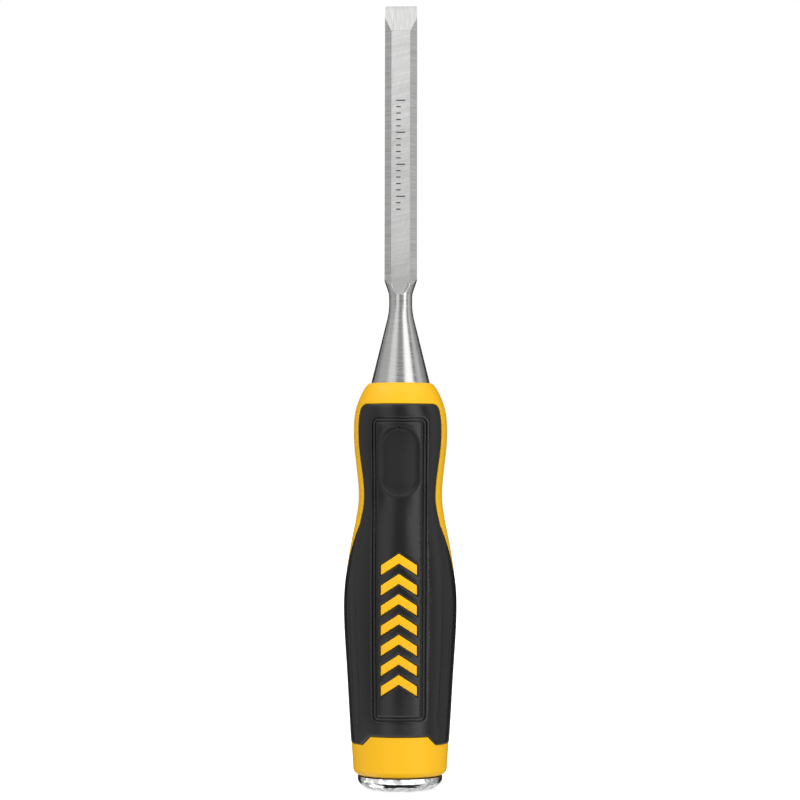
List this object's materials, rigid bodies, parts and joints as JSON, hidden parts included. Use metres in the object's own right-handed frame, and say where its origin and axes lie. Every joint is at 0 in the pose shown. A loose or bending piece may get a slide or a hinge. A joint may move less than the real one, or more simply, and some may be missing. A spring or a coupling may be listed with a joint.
{
  "type": "bench chisel",
  "caption": "Bevel-edged bench chisel with a 10 mm forged blade, round bolster, two-colour moulded grip and a steel strike cap.",
  "frame": {"origin": "centre of the strike face, the flat end of the strike cap", "axes": "+Z along the tool towards the cutting edge, -Y out of the front with the ground bevels and the emblem, +Y out of the blade's flat back"},
  "size_m": [0.035, 0.0354, 0.2441],
  "materials": {
    "forged_steel": "ground and brushed",
    "yellow_plastic": "satin moulded",
    "black_grip": "fine satin",
    "cap_chrome": "bright plated"
  },
  "bodies": {
    "root": {"blade": "forged_steel", "handle_core": "yellow_plastic", "grip_overmold": "black_grip", "strike_cap": "cap_chrome"}
  },
  "joints": []
}
